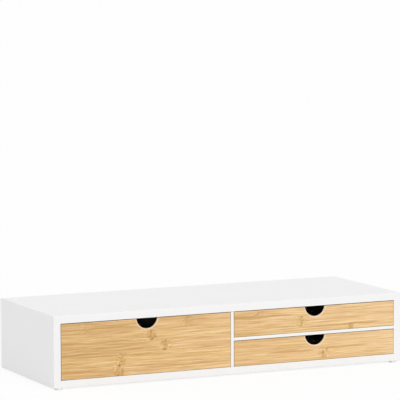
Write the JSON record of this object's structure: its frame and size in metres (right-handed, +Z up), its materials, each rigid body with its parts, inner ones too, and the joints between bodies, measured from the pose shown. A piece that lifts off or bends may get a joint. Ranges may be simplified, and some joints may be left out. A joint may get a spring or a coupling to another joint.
{
  "type": "monitor stand with drawers",
  "caption": "Long, low white monitor stand on small pads, with tall and shallow bamboo-fronted drawers that are pulled by half-round finger notches.",
  "frame": {"origin": "on the desk, under the middle of the case", "axes": "+X along the case towards the two shallow drawers, +Y from the drawer fronts to the back panel, +Z up"},
  "size_m": [0.6, 0.225, 0.1135],
  "materials": {
    "white_lacquer": "fibreboard with satin white lacquer",
    "bamboo": "side-pressed bamboo strips, satin clear varnish",
    "drawer_board": "fibreboard with thin matt white coating",
    "hardboard": "thin hardboard, white on its upper face",
    "beech": "bare beech",
    "zinc_screw": "zinc-plated steel",
    "felt_pad": "pressed pale felt"
  },
  "bodies": {
    "case": {"back_panel": "white_lacquer", "back_screw_bottom_1": "zinc_screw", "back_screw_bottom_2": "zinc_screw", "back_screw_bottom_3": "zinc_screw", "back_screw_bottom_4": "zinc_screw", "back_screw_left_1": "zinc_screw", "back_screw_left_2": "zinc_screw", "back_screw_right_1": "zinc_screw", "back_screw_right_2": "zinc_screw", "back_screw_top_1": "zinc_screw", "back_screw_top_2": "zinc_screw", "back_screw_top_3": "zinc_screw", "back_screw_top_4": "zinc_screw", "bottom_panel": "white_lacquer", "centre_divider": "white_lacquer", "foot_left_back": "felt_pad", "foot_left_front": "felt_pad", "foot_right_back": "felt_pad", "foot_right_front": "felt_pad", "left_side_panel": "white_lacquer", "middle_shelf": "white_lacquer", "mitre_spline_left_lower": "beech", "mitre_spline_left_upper": "beech", "mitre_spline_right_lower": "beech", "mitre_spline_right_upper": "beech", "right_side_panel": "white_lacquer", "top_panel": "white_lacquer"},
    "tall_drawer": {"tall_drawer_back": "drawer_board", "tall_drawer_bottom": "hardboard", "tall_drawer_dowel_left_lower": "beech", "tall_drawer_dowel_left_upper": "beech", "tall_drawer_dowel_right_lower": "beech", "tall_drawer_dowel_right_upper": "beech", "tall_drawer_front": "bamboo", "tall_drawer_left_wall": "drawer_board", "tall_drawer_right_wall": "drawer_board", "tall_drawer_screw_left_lower": "zinc_screw", "tall_drawer_screw_left_upper": "zinc_screw", "tall_drawer_screw_right_lower": "zinc_screw", "tall_drawer_screw_right_upper": "zinc_screw"},
    "upper_drawer": {"upper_drawer_back": "drawer_board", "upper_drawer_bottom": "hardboard", "upper_drawer_dowel_left": "beech", "upper_drawer_dowel_right": "beech", "upper_drawer_front": "bamboo", "upper_drawer_left_wall": "drawer_board", "upper_drawer_right_wall": "drawer_board", "upper_drawer_screw_left": "zinc_screw", "upper_drawer_screw_right": "zinc_screw"},
    "lower_drawer": {"lower_drawer_back": "drawer_board", "lower_drawer_bottom": "hardboard", "lower_drawer_dowel_left": "beech", "lower_drawer_dowel_right": "beech", "lower_drawer_front": "bamboo", "lower_drawer_left_wall": "drawer_board", "lower_drawer_right_wall": "drawer_board", "lower_drawer_screw_left": "zinc_screw", "lower_drawer_screw_right": "zinc_screw"}
  },
  "joints": [
    {"name": "tall_drawer_slide", "type": "slide", "parent": "case", "child": "tall_drawer", "axis": [0, -1, 0], "range_m": [0, 0.18]},
    {"name": "upper_drawer_slide", "type": "slide", "parent": "case", "child": "upper_drawer", "axis": [0, -1, 0], "range_m": [0, 0.18]},
    {"name": "lower_drawer_slide", "type": "slide", "parent": "case", "child": "lower_drawer", "axis": [0, -1, 0], "range_m": [0, 0.18]}
  ]
}
